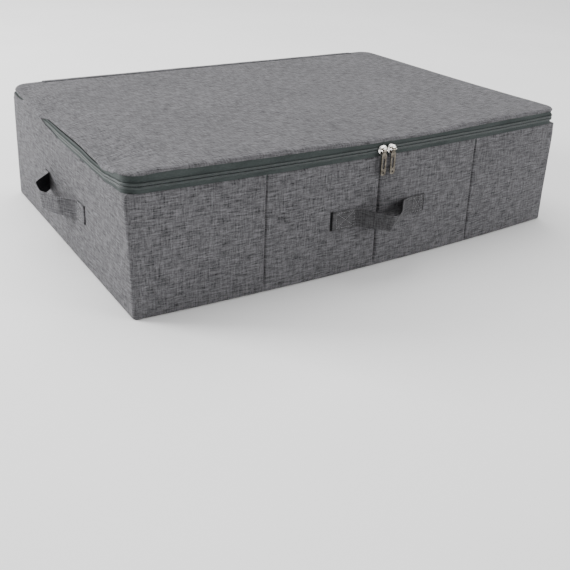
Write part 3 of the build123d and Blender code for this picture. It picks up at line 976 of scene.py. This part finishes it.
def rounded(corners, radii, step=1.2):
    """A line through corners in a plane, rounded at each by its radius."""
    line = [Vector(corners[0])]
    for before, corner, after, radius in zip(corners, corners[1:], corners[2:], radii):
        b, c, a = Vector(before), Vector(corner), Vector(after)
        u, v = (b - c).normalized(), (a - c).normalized()
        angle = u.angle(v)
        back = radius / math.tan(angle / 2)
        centre = c + (u + v).normalized() * (radius / math.sin(angle / 2))
        first, last = c + u * back, c + v * back
        start, sweep = first - centre, (first - centre).angle(last - centre)
        count = max(3, math.ceil(radius * sweep / step))
        turn = 1 if start.x * (last - centre).y - start.y * (last - centre).x > 0 else -1
        for k in range(count + 1):
            line.append(centre + Matrix.Rotation(turn * sweep * k / count, 2) @ start)
    line.append(Vector(corners[-1]))
    full = [line[0]]
    for point in line[1:]:
        start, gap = full[-1], (point - full[-1]).length
        count = math.ceil(gap / 2.5) if gap >= 0.05 else 0
        full += [start.lerp(point, k / count) for k in range(1, count + 1)]
    return full


def strap_line(side):
    """The middle line of one handle's strap as (along, out) in millimetres."""
    first, last = (s / MM for s in SLITS[side])
    corners = [(first - TAIL, -INSIDE), (first, -INSIDE), (first, STRAP_OUT)]
    corners += [(a, o + STRAP_OUT) for a, o in LOOPS[side]]
    corners += [(last, STRAP_OUT), (last, -INSIDE), (last + TAIL, -INSIDE)]
    return rounded(corners, [0.9, 0.9, 6, 11, FOLDS[side], 11, 6, 0.9, 0.9])


def strap_frame(side, along, out, z):
    """A point beside a wall, and the wall's own along and out directions."""
    a, o = along * MM, out * MM
    if side == "front":
        return Vector((a, bowed(a, -HALF_Y) - o, z)), Vector((1, 0, 0)), Vector((0, -1, 0))
    sign = -1 if side == "left" else 1
    return settle(Vector((sign * (HALF_X + o), a, z))), Vector((0, 1, 0)), Vector((sign, 0, 0))


def strap_section():
    """Across the strap: (up, out) round a folded band, thicker where its edges turn in."""
    half, fat = STRAP_HALF, STRAP / 2
    edge = [(1.0, 0.0), (0.985, 0.62), (0.94, 0.98), (0.82, 0.96), (0.74, 0.80), (0.3, 0.84), (0.04, 0.86)]
    side = [(-a, b) for a, b in edge] + [(0.0, 0.74)] + edge[::-1]
    other = [(a, -b) for a, b in reversed(side[1:-1])]
    return [(a * half, b * fat) for a, b in side + other]


# where the loop leaves each sewn end, and the last row of stitches pinches the strap
PINCHES = handles((-35.5, 55.0), (-53.0, 64.0))
PINCH_WIDTH, PINCH = 1.1, 0.55
DROOP, TWIST = handles(0.05, 0.03), handles(0.42, 0.06)  # the loop hangs by a share of its way out
WRINKLE, WAVE = 0.12 * MM, 0.35 * MM


def half_strap(side, part):
    """One half of a strap, from a sewn end to the middle of its loop."""
    whole = strap_line(side)
    peak = max(range(len(whole)), key=lambda k: whole[k].y)
    start, line = (0, whole[: peak + 1]) if part == "near" else (peak, whole[peak:])
    run = [s * MM for s in lengths(line)]
    loop = strap_section()
    points, weave = [], []
    for k, (p, s) in enumerate(zip(line, run)):
        before, after = whole[max(start + k - 1, 0)], whole[min(start + k + 1, len(whole) - 1)]
        t = (after - before).normalized()
        spot, u, o = strap_frame(side, p.x, p.y, HANDLE_Z[side] - DROOP[side] * max(p.y - 1, 0) * MM)
        normal = (o * t.x - u * t.y).normalized()
        twist = TWIST[side] * smooth(p.y, 4, 32)
        pinch = sum(math.exp(-(((p.x - at) / PINCH_WIDTH) ** 2)) for at in PINCHES[side])
        for a, b in loop:
            b *= 1 - PINCH * pinch * (b > 0) * (abs(a) < STRAP_HALF * 0.93)
            wrinkle = WRINKLE * ripple(p.x * MM, p.y * MM, a, 9 * MM, 3.3) * (b > 0)
            wrinkle *= 1 if abs(a) < STRAP_HALF * 0.9 else 0.3
            wave = WAVE * math.sin(p.x * 0.16) * smooth(p.y, 3, 12) * (a / STRAP_HALF)
            points.append(spot + normal * (b + wrinkle + twist * a + wave) + Vector((0, 0, a)))
            weave.append((s, a + (0.03 if b < 0 else 0)))
    n = len(loop)
    piece = make(f"{side}_strap_{part}", points, tube_faces(len(line), n), weave, 60)
    # The front strap takes the darker linen copy, which is painted shade; the end straps take the wall's own
    # cloth.
    piece.data.materials.append(front_strap_painted_shade if side == "front" else cloth)
    piece.data.materials.append(near_black_and_painted_shade)
    # Near black on each strap's inner face, and on its tails inside the wall as painted shade seen through
    # the slits.
    for k, polygon in enumerate(piece.data.polygons):
        inner = k % n >= n // 2 or line[min(k // n, len(line) - 1)].y < -0.4
        polygon.material_index = 1 if inner else 0
    return piece


BENDS = handles(((-44, -16), (46, 14)), ((-46, -16), (54, 24)))
for side in BENDS:
    for part, number, (start, end) in zip(("near", "far"), (1, 2), BENDS[side]):
        piece = half_strap(side, part)
        nodes = [f"{side}_handle_end_{number}"] + ([f"{side}_handle_loop"] if part == "near" else [])
        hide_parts(*nodes)
        a, _, _ = strap_frame(side, start, 2, HANDLE_Z[side])
        b, _, _ = strap_frame(side, end, 2, HANDLE_Z[side])
        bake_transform(piece)


# ---- stitching ----
def stitches(name, lines, body, length=2.5 * MM, gap=1.1 * MM, width=0.42 * MM):
    """Rows of single stitches lying on (point, outward) lines, each a small twisted dash."""
    points, faces, weave = [], [], []
    for line in lines:
        run = lengths([p for p, _ in line])
        spot, k = 0.0, 0
        while spot + length <= run[-1] + 1e-9:
            ends = []
            for place_s in (spot, spot + length / 2, spot + length):
                while k < len(run) - 2 and run[k + 1] < place_s:
                    k += 1
                share = (place_s - run[k]) / max(run[k + 1] - run[k], 1e-9)
                ends.append((line[k][0].lerp(line[k + 1][0], share), line[k][1]))
            k = max(k - 3, 0)
            along = (ends[2][0] - ends[0][0]).normalized()
            faces += [tuple(len(points) + v for v in f) for f in flipped(tube_faces(3, 5))]
            for e, ((p, out), size) in enumerate(zip(ends, (0.45, 1.0, 0.45))):
                side = along.cross(out).normalized()
                lift = 0.30 * MM * (0.2 if e != 1 else 1.0)
                for a, b in ((-1, 0), (-0.6, 0.8), (0.6, 0.8), (1, 0), (0, -0.9)):
                    points.append(p + side * a * size * width / 2 + out * (lift + b * size * width / 2))
                    weave.append((spot + e * length / 2, a * width))
            spot += length + gap
    piece = make(name, points, faces, weave, 80)
    return finish_piece(piece, thread, body)


def strap_spot(side, along, up):
    """On the outer face of a strap's sewn end."""
    spot, _, out = strap_frame(side, along, STRAP_OUT + STRAP / 2 / MM - 0.12, HANDLE_Z[side] + up * MM)
    return spot, out


def even(a, b, count=8):
    """Even points from a to b."""
    return [tuple(x + (y - x) * k / count for x, y in zip(a, b)) for k in range(count + 1)]


def boxed(side, low, high, tall=10.0):
    """Lines of a stitched box with a cross in it, on a strap's sewn end."""
    corners = [(low, -tall), (high, -tall), (high, tall), (low, tall)]
    pairs = list(zip(corners, corners[1:] + corners[:1])) + list(zip(corners, corners[2:]))
    return [[strap_spot(side, a, z) for a, z in even(p, q)] for p, q in pairs]


stitches("front_handle_stitches", boxed("front", -64, -37.5) + boxed("front", 58, 71.5), "box")
for side in ("left", "right"):
    stitches(f"{side}_handle_stitches", boxed(side, -71.5, -55) + boxed(side, 66, 72), "box")

# ---- metal and board keep their own shapes ----
# The pulls take the darkened metal, whose darkness is painted dark reflection.
OWN_SHAPES = {"slider": bright, "pull": pull_metal_painted_dark_reflection, "board": board_fibre}
for name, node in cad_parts.items():
    finish = next((made for word, made in OWN_SHAPES.items() if word in name), None)
    if finish and not node.hide_render:
        for slot in node.material_slots:
            slot.material = finish

# ---- floor, light and camera ----
floor_mesh = bpy.data.meshes.new("floor")
floor_mesh.from_pydata([(-9, -7, 0), (9, -7, 0), (9, 11, 0), (-9, 11, 0)], [], [(0, 1, 2, 3)])
floor = bpy.data.objects.new("floor", floor_mesh)
bpy.context.scene.collection.objects.link(floor)
pale = Finish("pale_floor", Specular_IOR_Level=0.1, Roughness=0.9)
cloud = pale.noise(pale.node("TexCoord").outputs["Object"], 3.0)
pale.colours(cloud, 0.3, (0.86, 0.86, 0.86), 0.7, (0.89, 0.89, 0.89))
floor_mesh.materials.append(pale.material)

world = bpy.data.worlds.new("studio")
world.use_nodes = True
sky = world.node_tree.nodes["Background"]
sky.inputs[0].default_value = (1.0, 1.0, 1.0, 1.0)
sky.inputs[1].default_value = 0.42
bpy.context.scene.world = world


def area_light(name, spot, aim, size, power):
    light = bpy.data.lights.new(name, "AREA")
    light.shape, light.size, light.energy = "SQUARE", size, power
    holder = bpy.data.objects.new(name, light)
    holder.location = spot
    holder.rotation_euler = (Vector(aim) - Vector(spot)).to_track_quat("-Z", "Y").to_euler()
    bpy.context.scene.collection.objects.link(holder)


area_light("key", (-2.3, 1.7, 1.2), (-0.2, 0, 0.1), 1.2, 152)
area_light("top", (0.3, 1.6, 4.2), (0.3, 1.0, 0), 5.0, 300)
area_light("front", (1.9, -2.6, 1.1), (0, 0, 0.1), 1.6, 66)

lens = bpy.data.cameras.new("camera")
lens.lens, lens.sensor_width, lens.shift_y = 52.29, 36.0, -0.1607
camera = bpy.data.objects.new("camera", lens)
turns = ((-32.80, "Z"), (90 - 20.90, "X"), (2.20, "Z"))  # heading, tilt and roll
heading, tilt, roll = (Matrix.Rotation(math.radians(degrees), 4, axis) for degrees, axis in turns)
camera.matrix_world = Matrix.Translation((-0.6247, -0.9896, 0.4662)) @ (heading @ tilt) @ roll
bpy.context.scene.collection.objects.link(camera)
bpy.context.scene.camera = camera
